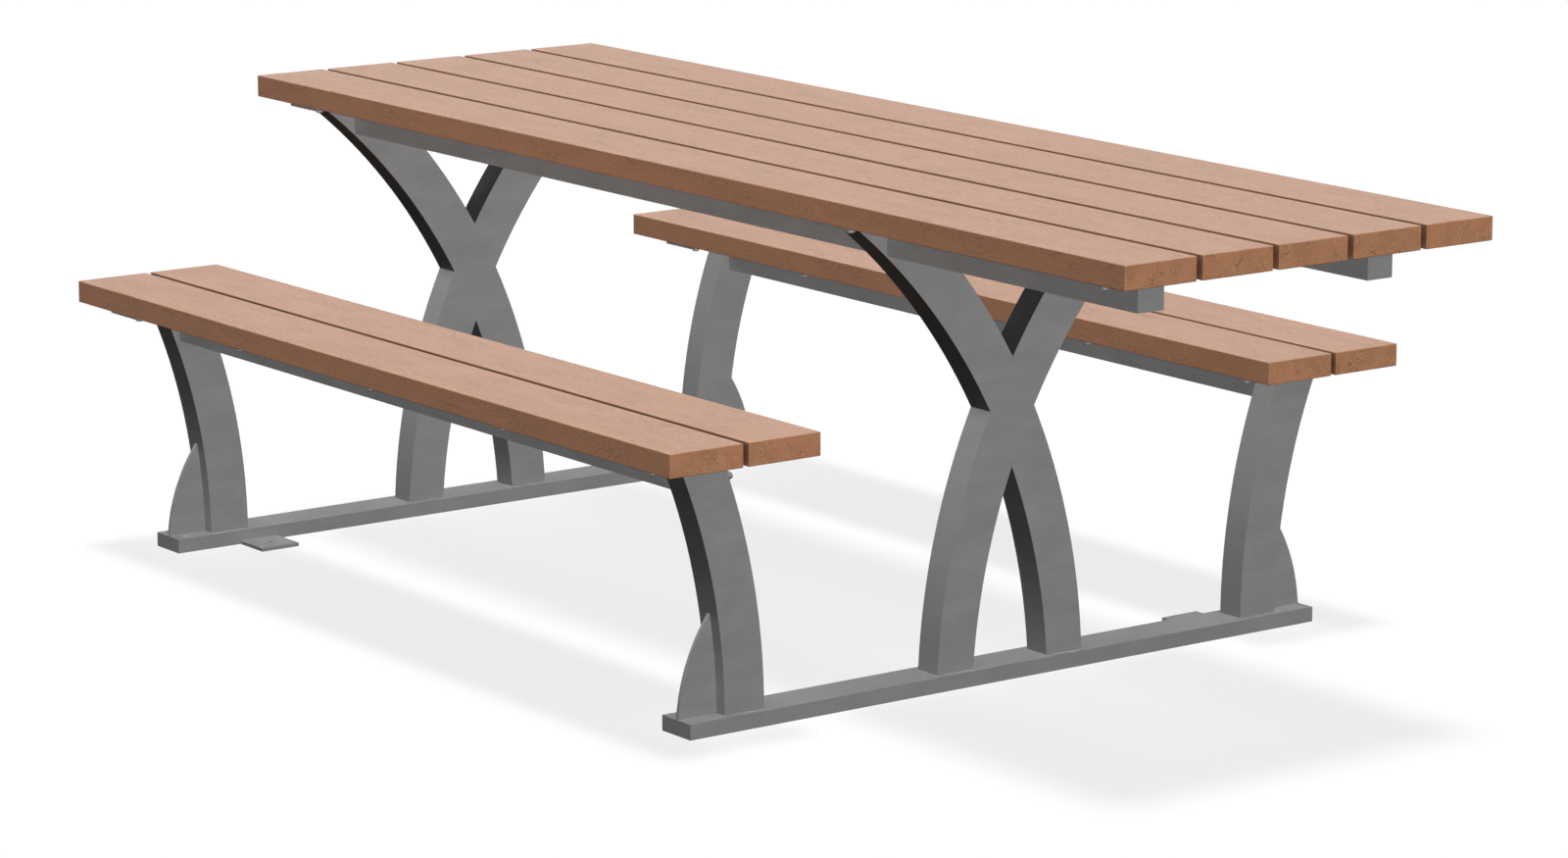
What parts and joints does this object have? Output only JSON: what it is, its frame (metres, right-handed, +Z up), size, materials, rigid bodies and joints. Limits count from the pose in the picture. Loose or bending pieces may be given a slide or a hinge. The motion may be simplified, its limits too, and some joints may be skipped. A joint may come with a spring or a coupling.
{
  "type": "picnic table",
  "caption": "Rectangular plank picnic table with two plank benches on crossed and curved steel end frames, one end overhanging for a wheelchair.",
  "frame": {"origin": "on the ground, under the middle of the table top, which is also the bottom centre of the bounding box", "axes": "+X along the planks towards the end where the top overhangs the frame, +Y across them towards the rear bench, +Z up"},
  "size_m": [2.4384, 1.4896, 0.819],
  "materials": {
    "plank_boards": "recycled plastic lumber with an embossed grain, cedar brown, matt",
    "coated_steel": "grey powder coat on steel, satin to matt",
    "stainless_screws": "stainless steel, satin",
    "zinc_bolts": "zinc plated, bright"
  },
  "bodies": {
    "root": {"base_bar_caps": "coated_steel", "bench_cleat_bolts": "zinc_bolts", "far_anchor_tab": "coated_steel", "far_base_bar": "coated_steel", "far_table_leg_lower_half": "coated_steel", "far_table_leg_through": "coated_steel", "far_table_leg_upper_half": "coated_steel", "front_bench_beam": "coated_steel", "front_bench_cleat_far": "coated_steel", "front_bench_cleat_middle": "coated_steel", "front_bench_cleat_near": "coated_steel", "front_bench_leg_far": "coated_steel", "front_bench_leg_near": "coated_steel", "front_bench_plank_inner": "plank_boards", "front_bench_plank_outer": "plank_boards", "front_bench_plank_screws": "stainless_screws", "front_bench_saddle_far": "coated_steel", "front_bench_saddle_near": "coated_steel", "front_bench_studs": "coated_steel", "front_bench_tongue_far": "coated_steel", "front_bench_tongue_near": "coated_steel", "front_gusset_far": "coated_steel", "front_gusset_near": "coated_steel", "front_table_beam": "coated_steel", "near_anchor_tab": "coated_steel", "near_base_bar": "coated_steel", "near_table_leg_lower_half": "coated_steel", "near_table_leg_through": "coated_steel", "near_table_leg_upper_half": "coated_steel", "rear_bench_beam": "coated_steel", "rear_bench_cleat_far": "coated_steel", "rear_bench_cleat_middle": "coated_steel", "rear_bench_cleat_near": "coated_steel", "rear_bench_leg_far": "coated_steel", "rear_bench_leg_near": "coated_steel", "rear_bench_plank_inner": "plank_boards", "rear_bench_plank_outer": "plank_boards", "rear_bench_plank_screws": "stainless_screws", "rear_bench_saddle_far": "coated_steel", "rear_bench_saddle_near": "coated_steel", "rear_gusset_far": "coated_steel", "rear_gusset_near": "coated_steel", "rear_table_beam": "coated_steel", "table_beam_caps": "coated_steel", "table_cleat_bolts": "zinc_bolts", "table_cleat_end": "coated_steel", "table_cleat_far": "coated_steel", "table_cleat_middle": "coated_steel", "table_cleat_near": "coated_steel", "table_plank_1": "plank_boards", "table_plank_2": "plank_boards", "table_plank_3": "plank_boards", "table_plank_4": "plank_boards", "table_plank_5": "plank_boards", "table_plank_screws": "stainless_screws", "table_saddle_far": "coated_steel", "table_saddle_near": "coated_steel"}
  },
  "joints": []
}
